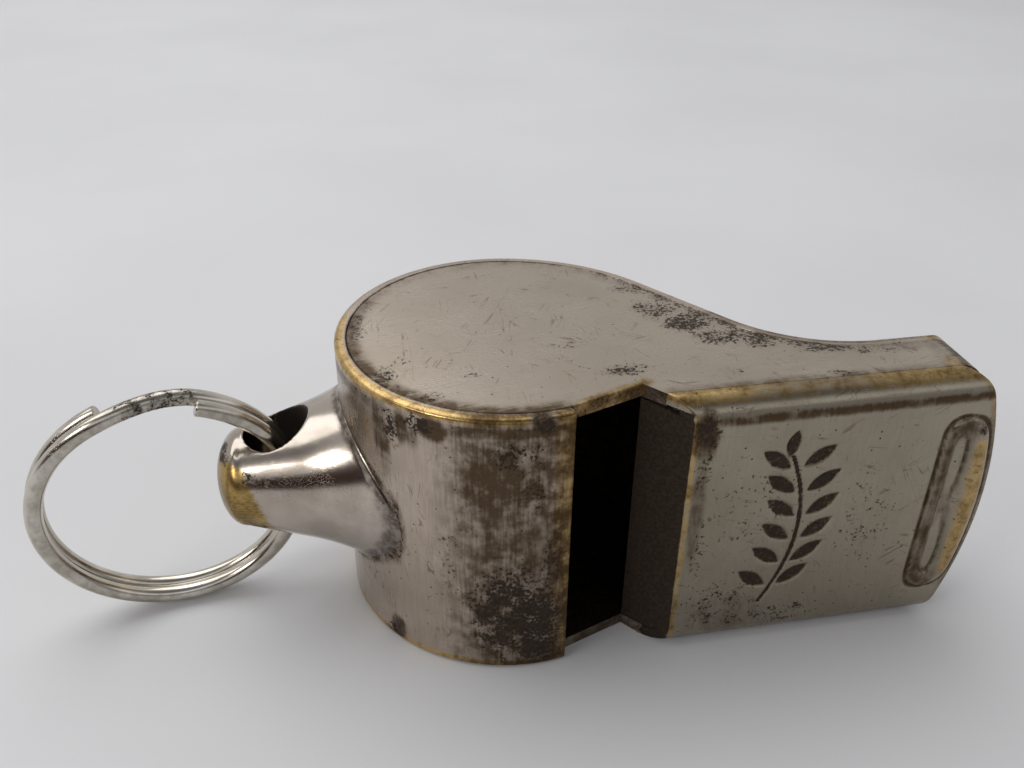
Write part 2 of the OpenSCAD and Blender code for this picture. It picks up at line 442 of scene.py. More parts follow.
def strip_section():
    """Closed section of the strip as (inset, z): outer face, top, inner face, bottom."""
    up = np.linspace(0, 90, 7)
    low_arc = np.stack([RIM_R - RIM_R * np.sin(np.radians(up)), RIM_R - RIM_R * np.cos(np.radians(up))], -1)
    face_z = np.linspace(RIM_R, BODY_W - RIM_R, 118)[1:-1]
    outer = np.concatenate([low_arc, np.stack([np.zeros(len(face_z)), face_z], -1),
                            low_arc[::-1] * [1, -1] + [0, BODY_W]])
    inner = outer[::-1].copy()
    chamfer = np.maximum(0.06 - np.minimum(inner[:, 1], BODY_W - inner[:, 1]), 0)
    inner[:, 0] = SHEET_T - chamfer
    top = np.array([[0.45, BODY_W], [0.6, BODY_W]])
    bottom = np.array([[0.6, 0.0], [0.45, 0.0]])
    return np.concatenate([outer, top, inner, bottom]), len(outer)


def barrel_strip(material):
    section, outer_count = strip_section()
    inset, z = section.T
    xy, n = outline(0.25)
    rows = []

    def narrowed(share):
        return SHEET_T / 2 + (inset - SHEET_T / 2) * (1 - share)

    lip_out = np.array([-LIP[1], LIP[0]])
    for share, back in ((1.0, 0.0), (0.12, 0.0), (0.0, END_EASE)):
        base = xy[0] - lip_out * back
        rows.append(np.column_stack([base + narrowed(share)[:, None] * n[0], z]))
    for p, normal in zip(xy[1:], n[1:]):
        rows.append(np.column_stack([p + inset[:, None] * normal, z]))
    end_x = mouth_x(z)
    outer = np.arange(len(z)) < outer_count
    for t in np.linspace(0, 1, 58)[1:]:
        x = xy[-1, 0] + t * (end_x - END_EASE - xy[-1, 0])
        lift = np.where(outer, grip(x, z)[0], 0)
        rows.append(np.column_stack([x, BACK_Y - inset + lift, z]))
    for share in (0.12, 1.0):
        rows.append(np.column_stack([end_x, BACK_Y - narrowed(share), z]))
    points = np.concatenate(rows)
    faces = grid_faces(len(rows), len(section), close_columns=True)
    insets = np.tile(inset, len(rows))
    marks = strip_marks(points, insets, np.tile(outer, len(rows)))
    obj = make_object("barrel_strip_sheet", [(points, faces, marks)])
    finish_piece(obj, material, "barrel_strip", "whistle")


def strip_marks(points, inset, outer):
    """Wear, grime, and film with painted shade of the strip; around runs from 0 at +X through -90 at the
    lip's side to -360.
    """
    x, y, z = points.T
    angle = np.degrees(np.arctan2(y, x))
    around = np.where(angle > 0, angle - 360, angle)
    on_barrel = x < 6
    front = smooth(-215, -185, around) * on_barrel

    def spots(*places):
        """Soft patches on the barrel from (angle, z, half angle, half height, strength)."""
        total = np.zeros(len(points))
        for angle_at, z_at, angle_half, z_half, strength in places:
            d = np.sqrt(((around - angle_at) / angle_half) ** 2 + ((z - z_at) / z_half) ** 2)
            total = np.maximum(total, strength * smooth(1.0, 0.2, d))
        return total * on_barrel

    rim_top = smooth(BODY_W - 0.62, BODY_W - 0.22, z) * smooth(0.85, 0.4, inset)
    rim_smudge = spots((-88.5, BODY_W - 0.4, 6, 1.4, 1.3))
    rim_low = smooth(0.95, 0.35, z)
    lip_s = (points[:, :2] - BARREL_R * LIP) @ np.array([-LIP[1], LIP[0]])
    near_lip = (smooth(-1.7, -1.0, lip_s) + 0.4 * smooth(-0.55, -0.2, lip_s)) * (y < -9) * (x < 4)
    mouth_edge = smooth(1.1, 0.1, mouth_x(z) - x) * (x > 20)
    rim_wear = (0.16 + 0.66 * front) * (1 - np.minimum(rim_smudge, 1))
    wear = np.maximum.reduce([
        rim_top * rim_wear, rim_top * 0.6 * smooth(24, 28, x), rim_low * (0.6 + 0.3 * front),
        0.56 * near_lip, 0.55 * mouth_edge,
        spots((-149, 17, 3, 3.5, 0.45), (-82, 13, 6, 8, 0.36), (-97, 2.4, 26, 3, 0.34)),
    ])
    under_rim = smooth(BODY_W - 1.9, BODY_W - 1.1, z) * smooth(BODY_W - 0.35, BODY_W - 0.7, z)
    band = under_rim * smooth(-126, -112, around) * (around < -77) * on_barrel
    foot = foot_distance(y, z)
    grime = np.maximum.reduce([
        0.36 * band, 0.5 * rim_smudge, 0.34 * under_rim * front, 0.46 * smooth(0.6, 0.3, foot) * (x < -5),
        0.36 * smooth(0.66, 0.78, inset) * (x < 20),
        spots((-138, 18.2, 7, 2.2, 0.62), (-128, 18.9, 10, 1.4, 0.62), (-92, 15, 13, 5, 0.42),
              (-96, 17.4, 17, 2.2, 0.5), (-98, 5, 25, 7.6, 0.66), (-89, 3.6, 16, 6.6, 0.74),
              (-142, 1, 6, 1.6, 0.6), (-85, 9, 7, 6, 0.5), (-118, 9, 10, 5, 0.36), (-226, 14, 26, 7, 0.36),
              (-240, 2.5, 44, 4.5, 0.42), (-205, 3, 16, 3, 0.45)),
        patches(points, ((11, 3, 17), (9, 6, 5), 0.38), ((19, -3, 2.5), (11, 6, 4), 0.42)),
    ])
    # Brown stain and painted reflection: the front of the barrel towards the mouthpiece is browned and
    # darkened, partly standing in for the darker surroundings it mirrors.
    brown_stain_and_painted_reflection = smooth(-136, -104, around) * (around < -70) * on_barrel
    film_and_painted_shade = np.maximum.reduce([
        rim_smudge, 0.9 * band, 0.7 * brown_stain_and_painted_reflection, 0.5 * under_rim * front, 0.3 * rim_low,
        0.5 * mouth_edge,
        0.65 * smooth(0.75, 0.2, foot) * (x < -5), 0.7 * smooth(0.62, 0.76, inset) * (x < 20),
        (0.3 + 0.3 * smooth(-125, -100, around)) * rim_top, 0.38 * near_lip,
        spots((-144, 17.6, 3.4, 3.6, 0.85), (-133, 18.4, 4, 2.2, 1), (-122, 18.8, 9, 1.4, 1),
              (-103, 15.6, 22, 5.6, 0.9), (-88, 14, 6, 7, 0.7), (-93, 15.6, 12, 4.4, 0.9),
              (-98, 4.6, 24, 6.5, 0.8), (-84, 10, 9, 9, 0.8), (-141, 17, 5, 4.5, 0.75),
              (-131, 18.4, 9, 2.4, 0.6), (-162, 8, 8, 9, 0.35), (-140, 1.2, 6, 1.7, 1.1),
              (-240, 2, 50, 5, 0.42)),
        patches(points, ((17, -2, 2), (14, 8, 5), 0.4), ((10, 3, 18), (9, 6, 4), 0.36)),
    ])
    _, grip_wear, grip_grime, grip_film_and_painted_shade = grip(x, z)
    on_grip = outer & (y > BACK_Y - 0.3) & (x > GRIP_LEFT - 1)
    inner = (inset > SHEET_T - 0.02) & (z > 0.3) & (z < BODY_W - 0.3) & (x < mouth_x(z) - 0.3)
    pairs = ((wear, grip_wear, 0), (grime, grip_grime, 1.1), (film_and_painted_shade, grip_film_and_painted_shade, 1))
    return [np.where(inner, dark, np.where(on_grip, np.maximum(mark, grip_mark), mark))
            for mark, grip_mark, dark in pairs]


# ---- mouthpiece plate
BEND_L = 0.3


def plate_columns():
    """Columns across the plate: outer (depth, z), inner (depth, z) and whether the ramp is behind them."""
    turn = np.radians(np.linspace(90, 0, 17))
    flat_z = np.linspace(EDGE_R, BODY_W - EDGE_R, 162)[1:-1]

    def section(radius, depth):
        arc = np.stack([EDGE_R - radius * np.cos(turn), EDGE_R - radius * np.sin(turn)], -1)
        flat = np.stack([np.full(len(flat_z), depth), flat_z], -1)
        return np.concatenate([arc, flat, arc[::-1] * [1, -1] + [0, BODY_W]])

    outer, inner = section(EDGE_R, 0.0), section(EDGE_R - SHEET_T, SHEET_T)
    middle = (outer[:, 1] > WALL) & (outer[:, 1] < BODY_W - WALL)
    return outer, inner, middle


def ramp_point(depth):
    return np.stack([BEND_X - RAMP_W * depth / NOTCH_H, FRONT_Y + depth], -1)


def mouthpiece_plate(material):
    """Ramp, bend, face and mouth end in columns, outside and inside, then the edges between them."""
    outer, inner, middle = plate_columns()
    depth, z = outer.T
    in_depth, in_z = inner.T
    corner = ramp_point(depth)
    start = ramp_point(np.where(middle, NOTCH_H, in_depth))
    side_z = np.where(z > MID_Z, np.maximum(in_z, BODY_W - WALL), np.minimum(in_z, WALL))
    start_z = np.where(middle, z, side_z)
    end_x = mouth_x(z) - END_EASE
    slide = (1 - RAMP_N[1]) * SHEET_T * RAMP_DIR[0] / RAMP_DIR[1]
    inner_corner = corner + np.array([slide, 0]) + RAMP_N * SHEET_T
    inner_corner[:, 1] = FRONT_Y + in_depth
    inner_corner[~middle] = ramp_point(in_depth)[~middle]
    inner_start = np.where(middle[:, None], start + RAMP_N * SHEET_T, start)
    before = corner + RAMP_DIR * BEND_L
    out_rows, in_rows = [], []
    for t in np.linspace(0, 1, 36):
        out_rows.append(np.column_stack([start + t * (before - start), start_z + t * (z - start_z)]))
        in_rows.append(np.column_stack([inner_start + t * 0.98 * (inner_corner - inner_start), in_z]))
    for t in np.linspace(0, 1, 7)[1:]:
        bend = (1 - t) ** 2 * before + 2 * t * (1 - t) * corner + t**2 * (corner + [BEND_L, 0])
        out_rows.append(np.column_stack([bend, z]))
        near = inner_corner + (t - 1) * 0.02 * (inner_corner - inner_start)
        in_rows.append(np.column_stack([near, in_z]))
    first_x = corner[:, 0] + BEND_L
    for t in np.linspace(0, 1, 200)[1:]:
        x = first_x + t * (end_x - first_x)
        lift = np.where(depth < 1e-6, grip(x, z)[0] - SPRIG_DEPTH * sprig(x, z), 0)
        out_rows.append(np.column_stack([x, FRONT_Y + depth - lift, z]))
        in_x = inner_corner[:, 0] + t * (end_x - inner_corner[:, 0])
        in_rows.append(np.column_stack([in_x, FRONT_Y + in_depth, in_z]))
    end_out = FRONT_Y + depth + 0.06 * (in_depth - depth)
    out_rows.append(np.column_stack([mouth_x(z), end_out, z]))
    in_rows.append(np.column_stack([mouth_x(in_z), FRONT_Y + in_depth, in_z]))
    columns = len(z)
    points = np.concatenate(out_rows + in_rows)
    row_count = len(out_rows)
    to_inner = row_count * columns
    shell = grid_faces(row_count, columns)
    faces = [shell, shell + to_inner]
    along_row = np.arange(columns - 1)
    across_rows = np.arange(row_count - 1) * columns
    for edge, step in ((along_row, 1), (along_row + to_inner - columns, 1),
                       (across_rows, columns), (across_rows + columns - 1, columns)):
        faces.append(np.stack([edge, edge + step, edge + step + to_inner, edge + to_inner], -1))
    marks = plate_marks(points, np.repeat([False, True], to_inner))
    obj = make_object("mouthpiece_plate_sheet", [(points, np.concatenate(faces), marks)])
    finish_piece(obj, material, "mouthpiece_plate", "whistle")


def plate_marks(points, is_inner):
    x, y, z = points.T
    _, wear, grime, film_and_painted_shade = grip(x, z)
    face = y < FRONT_Y + 0.6
    wear, grime, film_and_painted_shade = wear * face, grime * face, film_and_painted_shade * face
    stamp = sprig(x, z) * face * (x > BEND_X + 1)
    ramp = (x < BEND_X - 0.12) & (y > FRONT_Y + 0.14) & (z < BODY_W - 0.8)
    from_bend = np.hypot(x - BEND_X, y - FRONT_Y)
    bend = smooth(0.62, 0.1, from_bend) * (z > 0.6)
    edge_top = smooth(BODY_W - 0.75, BODY_W - 0.3, z)
    along = np.minimum(0.74 + 0.26 * smooth(15.0, 11.5, x) + 0.26 * smooth(19.0, 24.0, x), 1.0)
    mouth_edge = smooth(0.8, 0.1, mouth_x(z) - x)
    wear = np.maximum.reduce([wear, 0.56 * bend, edge_top * along * 0.62, 0.4 * smooth(0.9, 0.3, z),
                              0.5 * mouth_edge * smooth(13, 18, z)])
    flat = np.stack([x, z], -1)
    front = y < FRONT_Y + 1.0
    grime = np.maximum.reduce([
        grime, 0.7 * stamp, 0.45 * smooth(0.7, 0.2, z) * (x > BEND_X),
        front * patches(
            flat, ((10.3, 18.0), (1.5, 2.4), 0.62), ((10.4, 15.0), (0.9, 4.0), 0.46),
            ((12.8, 3.4), (5.0, 4.6), 0.42), ((17, 2.0), (6.0, 2.2), 0.42), ((10.6, 8.0), (0.9, 7.0), 0.4),
            ((22, 10), (4, 8), 0.33), ((14, 12), (5, 7), 0.33)),
    ])
    # Painted reflection: a dark band low on the rounded top edge of the face, where the dark surroundings
    # would be mirrored.
    painted_reflection_band = smooth(BODY_W - 2.1, BODY_W - 1.45, z) * smooth(BODY_W - 0.9, BODY_W - 1.3, z)
    painted_reflection_band *= x > BEND_X
    film_and_painted_shade = np.maximum.reduce([
        film_and_painted_shade, 0.95 * stamp, 0.6 * smooth(1.2, 0.3, z), 0.52 * edge_top, 0.85 * painted_reflection_band, 0.45 * mouth_edge,
        0.42 * bend,
        front * patches(flat, ((10.2, 17.6), (1.4, 3.2), 0.9), ((10.2, 12.0), (0.9, 8.0), 0.55),
                        ((13, 2.5), (6, 3.5), 0.4)),
    ])
    film_and_painted_shade = np.where(ramp, 1.0, film_and_painted_shade)
    wear = np.where(ramp, 0.5 * bend, wear)
    grime = np.where(ramp, 0.85 + 0.3 * smooth(0.3, 1.2, from_bend), grime)
    inside = is_inner & (x < mouth_x(z) - 0.3)
    return [np.where(inside, dark, mark) for mark, dark in ((wear, 0), (grime, 1.1), (film_and_painted_shade, 1))]


# ---- ring post
def post_radius(s):
    """Radius of the post at the distance s from the barrel axis, with a wide foot."""
    flare = NOSE_R + 0.3 * (NOSE_START - s) + 0.04 * np.maximum(14 - s, 0) ** 2
    nose = NOSE_R * np.sqrt(np.maximum(1 - np.maximum(s - NOSE_START, 0) ** 2 / NOSE_L**2, 0))
    return np.where(s > NOSE_START, nose, flare)


def lathe(name, radii, places, count, turn):
    """Closed turned shape in millimetres; turn maps (radius * cos, radius * sin, place) to x, y, z."""
    a = np.linspace(0, 2 * math.pi, count, endpoint=False)
    rings = [np.stack([r * np.cos(a), r * np.sin(a), np.full(count, s)], -1) for r, s in zip(radii, places)]
    points = turn(np.concatenate(rings))
    faces = grid_faces(len(rings), count, close_columns=True).tolist()
    faces += [list(range(count))[::-1], [(len(rings) - 1) * count + k for k in range(count)]]
    return make_object(name, [(points, [np.array(f) for f in faces], (0, 0, 0))], unit=1)


def foot_distance(y, z):
    """How far a point of the barrel is outside the post's foot."""
    across = np.maximum(np.sqrt(np.maximum(BARREL_R**2 - y**2, 0)), 8.3)
    return np.hypot(y, z - MID_Z) - post_radius(across)


def along_post(points):
    return np.stack([-points[:, 2], points[:, 0], points[:, 1] + MID_Z], -1)


def tube(name, path, radius, sides=14):
    """Closed tube round a closed path, in millimetres."""
    tangent = unit_rows(np.roll(path, -1, 0) - np.roll(path, 1, 0))
    side = unit_rows(np.cross(tangent, [1, 0, 0]))
    up = np.cross(side, tangent)
    a = np.linspace(0, 2 * math.pi, sides, endpoint=False)[None, :, None]
    points = path[:, None] + radius * (np.cos(a) * side[:, None] + np.sin(a) * up[:, None])
    faces = grid_faces(len(path), sides, True, True)
    return make_object(name, [(points.reshape(-1, 3), faces, (0, 0, 0))], unit=1)


def foot_path(out, depth, count=160):
    """Closed line round the post's foot, out mm from it and depth mm under the barrel's face."""
    a = np.linspace(0, 2 * math.pi, count, endpoint=False)
    radius = np.full(count, 6.5)
    for _ in range(80):
        radius = 0.5 * radius + 0.5 * post_radius(np.sqrt(BARREL_R**2 - (radius * np.cos(a)) ** 2))
    radius = radius + out
    y = radius * np.cos(a)
    inward = 1 - depth / BARREL_R
    return np.stack([-inward * np.sqrt(BARREL_R**2 - y**2), inward * y, MID_Z + radius * np.sin(a)], -1)


def boolean(obj, other, operation):
    modifier = obj.modifiers.new("cut", "BOOLEAN")
    modifier.operation = operation
    modifier.object = other
    modifier.solver = "EXACT"


def applied_mesh(obj):
    bpy.context.view_layer.update()
    graph = bpy.context.evaluated_depsgraph_get()
    return bpy.data.meshes.new_from_object(obj.evaluated_get(graph))


def ring_post(material):
    """Turned post, its solder bead and its eye, joined in millimetres and then scaled to metres."""
    nose_turn = np.radians(np.linspace(0, 86, 14))
    places = np.concatenate([np.linspace(7.5, NOSE_START, 60), NOSE_START + NOSE_L * np.sin(nose_turn)[1:]])
    post = lathe("ring_post_turned", post_radius(places), places, 160, along_post)
    eye = lathe("eye_cutter", [EYE_R] * 2, [MID_Z - 7, MID_Z + 7], 96, lambda p: p - [EYE_X, 0, 0])
    hollow = lathe("barrel_cutter", [BARREL_R - 0.25] * 2, [-1, BODY_W + 1], 256, lambda p: p)
    bead = tube("foot_bead", foot_path(-0.2, 0.25), 0.45)
    boolean(post, bead, "UNION")
    boolean(post, eye, "DIFFERENCE")
    boolean(post, hollow, "DIFFERENCE")
    remesh = post.modifiers.new("even", "REMESH")
    remesh.mode = "VOXEL"
    remesh.voxel_size = 0.085
    soften = post.modifiers.new("soften", "SMOOTH")
    soften.factor = 0.5
    soften.iterations = 16
    mesh = applied_mesh(post)
    for scrap in (post, eye, hollow, bead):
        bpy.data.objects.remove(scrap)
    obj = link_object("ring_post_turned", mesh)
    mesh.shade_smooth()
    points = np.zeros(len(mesh.vertices) * 3)
    mesh.vertices.foreach_get("co", points)
    set_marks(mesh, post_marks(points.reshape(-1, 3)))
    mesh.transform(Matrix.Scale(MM, 4))
    finish_piece(obj, material, "ring_post", "whistle")


def post_marks(points):
    x, y, z = points.T
    low_side = smooth(3.3, 1.9, z - MID_Z) * smooth(-3.2, -2.0, z - MID_Z) * smooth(1.6, -0.9, y)
    eye = np.hypot(x + EYE_X, y)
    wear = np.maximum.reduce([
        0.9 * smooth(NOSE_START - 2.3, NOSE_START + 0.1, 0.32 * (MID_Z - z) - x) * low_side,
        0.42 * smooth(POST_REACH - 1.0, POST_REACH - 0.1, -x), 0.3 * smooth(EYE_R + 0.7, EYE_R + 0.2, eye),
    ])
    foot = foot_distance(y, z)
    at_foot = smooth(1.0, 0.4, np.hypot(x, y) - BARREL_R)
    groove = at_foot * smooth(-0.5, -0.1, foot)
    # Painted shade and dirt inside the eye's bore, weaker on the half towards the nose.
    bore = smooth(EYE_R + 0.2, EYE_R - 0.05, eye) * (1 - 0.85 * smooth(0.4, -0.6, x + EYE_X))
    stains = patches(
        points, ((-19.3, -1.0, 12.6), (1.2, 2.2, 1.2), 0.6), ((-17.6, -2.8, 11.9), (1.4, 1.6, 1.0), 0.5),
        ((-17.4, -2.8, 7.6), (1.3, 1.5, 1.5), 0.5), ((-12.5, -4.4, 6.5), (0.5, 0.8, 0.5), 0.62),
        ((-13, 4.4, 12), (2.5, 2, 2.5), 0.45),
    )
    grime = np.maximum.reduce([0.34 * groove, bore, stains])
    film_and_painted_shade = np.maximum.reduce([0.8 * groove, bore, 0.8 * stains, 0.3 * at_foot, 0.3 * wear])
    return wear, grime, film_and_painted_shade


# ---- split ring
def split_ring(material):
    """Two turns of wire: the far coil, the crossover and the near coil, with cut ends."""
    total = 2 * 360 - CROSS_A - 2
    a = END_A + np.linspace(0, total, 640)
    cross_start = END_A + 360 - CROSS_A
    side = smooth(cross_start - 4, cross_start + CROSS_A + 4, a)
    offset = (side - 0.5) * COIL_PITCH
    spread = 0.12 * smooth(END_A + 46, END_A, a) + 0.1 * smooth(a[-1] - 40, a[-1], a)
    offset = offset + np.where(a < END_A + 60, -spread, spread) * 0.8
    radius = RING_R + 0.05 * np.sin(np.radians(a * 2)) + 0.06 * spread
    ray = polar(a)
    centre = np.column_stack([radius[:, None] * ray, offset])
    tangent = unit_rows(np.gradient(centre, axis=0))
    out = at_height(ray, 0.0)
    up = np.cross(tangent, out)
    turn = np.radians(np.linspace(0, 360, 36, endpoint=False))
    wide = WIRE_R * np.cos(turn)
    high = WIRE_R * np.sin(turn) * 0.93
    rows = [centre[k] + wide[:, None] * out[k] + high[:, None] * up[k] for k in range(len(a))]
    first, last = rows[0], rows[-1]
    for grow in (0.86, 0.0):
        rows.insert(0, centre[0] + (first - centre[0]) * grow - tangent[0] * END_CHAMFER)
        rows.append(centre[-1] + (last - centre[-1]) * grow + tangent[-1] * END_CHAMFER)
    local = np.concatenate(rows)
    lean = Matrix.Rotation(math.radians(90 + RING_LEAN), 4, "X")
    swing = Matrix.Rotation(math.radians(RING_SWING), 4, "Z")
    rest_z = (ring_low[2] + ring_high[2]) / 2
    place = (Matrix.Translation((-EYE_X, 0, rest_z)) @ swing
             @ Matrix.Translation((RING_PAST_EYE - RING_R, 0, 0)) @ lean)
    matrix = np.array(place)
    points = local @ matrix[:3, :3].T + matrix[:3, 3]
    pad = np.concatenate([[a[0]] * 2, a, [a[-1]] * 2])
    along = np.repeat(pad, len(turn))
    cross_end = cross_start + CROSS_A
    cross = smooth(cross_start - 12, cross_start + 4, along) * smooth(cross_end + 6, cross_end - 14, along)
    facing = np.tile(np.sin(turn), len(pad))
    inner = smooth(0.35, -0.6, np.tile(np.cos(turn), len(pad)))
    far_coil = along < cross_start + CROSS_A / 2
    # Where the two coils touch: dirt, and painted shade in the crease between them.
    groove = np.where(far_coil, smooth(0.45, 0.95, facing), smooth(-0.45, -0.95, facing))
    ends = np.maximum(smooth(END_A + 4, END_A, along), smooth(a[-1] - 4, a[-1], along))
    grime = np.maximum.reduce([0.46 * cross, 0.1 * groove, 0.3 * ends])
    film_and_painted_shade = np.maximum.reduce([0.6 * cross, 0.42 * groove, 0.08 * inner, 0.4 * ends])
    faces = grid_faces(len(rows), len(turn), close_columns=True)
    obj = make_object("split_ring_wire", [(points, faces, (0.1, grime, film_and_painted_shade))])
    finish_piece(obj, material, "split_ring", "split_ring")


# ---- pea
def cork_pea(material):
    centre, radius = (pea_low + pea_high) / 2, (pea_high[2] - pea_low[2]) / 2
    rows, columns = 90, 150
    tilt = np.linspace(0, math.pi, rows)[:, None]
    turn = np.linspace(0, 2 * math.pi, columns, endpoint=False)[None, :]
    ray = np.stack([np.sin(tilt) * np.cos(turn), np.sin(tilt) * np.sin(turn), np.cos(tilt) + 0 * turn], -1)
    ray = ray.reshape(-1, 3)
    draw = np.random.default_rng(7)
    depth = np.zeros(len(ray))
    for _ in range(220):
        spot = draw.normal(size=3)
        spot /= np.linalg.norm(spot)
        size = draw.uniform(0.03, 0.09)
        depth += draw.uniform(0.03, 0.12) * np.exp(-((np.linalg.norm(ray - spot, axis=1) / size) ** 2))
    depth = np.minimum(depth, 0.2)
    points = centre + ray * (radius - 0.01 - depth)[:, None]
    faces = grid_faces(rows, columns, close_columns=True)
    obj = make_object("cork_pea", [(points, faces, (0, smooth(0.03, 0.1, depth), 0))], sharp=80)
    finish_piece(obj, material, "pea", "pea")


# ---- materials
class NodeTree:
    """Short forms for the nodes that the materials and the room share."""

    def __init__(self, owner):
        owner.use_nodes = True
        self.tree = owner.node_tree
        self.tree.nodes.clear()

    def node(self, kind, **settings):
        made = self.tree.nodes.new(kind)
        for key, value in settings.items():
            setattr(made, key, value)
        return made

    def put(self, socket, value):
        if isinstance(value, bpy.types.NodeSocket):
            self.tree.links.new(value, socket)
        elif hasattr(value, "__len__") and len(value) == 3 and socket.type == "RGBA":
            socket.default_value = (*value, 1)
        else:
            socket.default_value = value

    def step(self, value, low, high, top=1.0):
        """0 below low, top above high and a smooth change between them; low may be the larger."""
        made = self.node("ShaderNodeMapRange", interpolation_type="SMOOTHSTEP")
        self.put(made.inputs["Value"], value)
        ends = (low, high, 0.0, top) if low < high else (high, low, top, 0.0)
        for key, number in zip(("From Min", "From Max", "To Min", "To Max"), ends):
            made.inputs[key].default_value = number
        return made.outputs[0]

    def mix(self, factor, a, b):
        made = self.node("ShaderNodeMix", data_type="RGBA")
        self.put(made.inputs[0], factor)
        self.put(made.inputs[6], a)
        self.put(made.inputs[7], b)
        return made.outputs[2]


class Shader(NodeTree):
    """One node material. Scales are per millimetre."""

    def __init__(self, name):
        self.material = bpy.data.materials.new(name)
        super().__init__(self.material)
        self.surface = self.node("ShaderNodeBsdfPrincipled")
        self.put(self.node("ShaderNodeOutputMaterial").inputs[0], self.surface.outputs[0])
        self.position = self.node("ShaderNodeTexCoord").outputs["Object"]

    def place(self, scale, stretch=(1, 1, 1), turn=(0, 0, 0), shift=(0, 0, 0)):
        mapping = self.node("ShaderNodeMapping", vector_type="TEXTURE")
        self.put(mapping.inputs["Vector"], self.position)
        mapping.inputs["Rotation"].default_value = [math.radians(a) for a in turn]
        mapping.inputs["Scale"].default_value = [MM / (scale * s) for s in stretch]
        mapping.inputs["Location"].default_value = [MM * s for s in shift]
        return mapping.outputs[0]

    def noise(self, scale, detail=3.0, rough=0.5, distortion=0.0, **placing):
        made = self.node("ShaderNodeTexNoise")
        self.put(made.inputs["Vector"], self.place(scale, **placing))
        settings = (1.0, detail, rough, distortion)
        for key, value in zip(("Scale", "Detail", "Roughness", "Distortion"), settings):
            made.inputs[key].default_value = value
        return made.outputs["Fac"]

    def cells(self, scale, **placing):
        made = self.node("ShaderNodeTexVoronoi")
        self.put(made.inputs["Vector"], self.place(scale, **placing))
        made.inputs["Scale"].default_value = 1.0
        return made.outputs["Distance"]

    def attribute(self, name):
        return self.node("ShaderNodeAttribute", attribute_name=name).outputs["Fac"]

    def math(self, operation, a, b=0.0):
        made = self.node("ShaderNodeMath", operation=operation)
        self.put(made.inputs[0], a)
        self.put(made.inputs[1], b)
        return made.outputs[0]

    def total(self, *terms):
        """Sum of (value, weight) pairs and plain values."""
        result = None
        for term in terms:
            value = self.math("MULTIPLY", *term) if isinstance(term, tuple) else term
            result = value if result is None else self.math("ADD", result, value)
        return result

    def scratches(self, scale, stretch, turn, width, patch_scale, patch, shift=(0, 0, 0)):
        """Thin long lines: the contour lines of a stretched noise, kept only in patches."""
        field = self.noise(scale, detail=1.0, stretch=stretch, turn=turn, shift=shift)
        line = self.step(self.math("ABSOLUTE", self.math("SUBTRACT", field, 0.5)), width, 0.0)
        where = self.noise(patch_scale, detail=2.0, shift=(7, 3, 5), turn=turn)
        return self.math("MULTIPLY", line, self.step(where, patch, patch + 0.12))

    def bump(self, height, distance):
        made = self.node("ShaderNodeBump")
        made.inputs["Distance"].default_value = distance * MM
        self.put(made.inputs["Height"], height)
        self.put(self.surface.inputs["Normal"], made.outputs[0])

    def finish(self, **inputs):
        for key, value in inputs.items():
            self.put(self.surface.inputs[key.replace("_", " ")], value)
        return self.material


BRASS = (0.62, 0.43, 0.18)
BRASS_DULL = (0.29, 0.185, 0.08)
BROWN = (0.15, 0.10, 0.06)
FILM_AND_PAINTED_SHADE = (0.064, 0.036, 0.014)
TARNISH = (0.03, 0.021, 0.014)
TARNISH_LIGHT = (0.046, 0.032, 0.022)
NOSE_BRASS = (0.45, 0.31, 0.11)
NOSE_BRASS_DULL = (0.21, 0.135, 0.05)
POLISHED_FILM_AND_PAINTED_SHADE = (0.07, 0.053, 0.038)


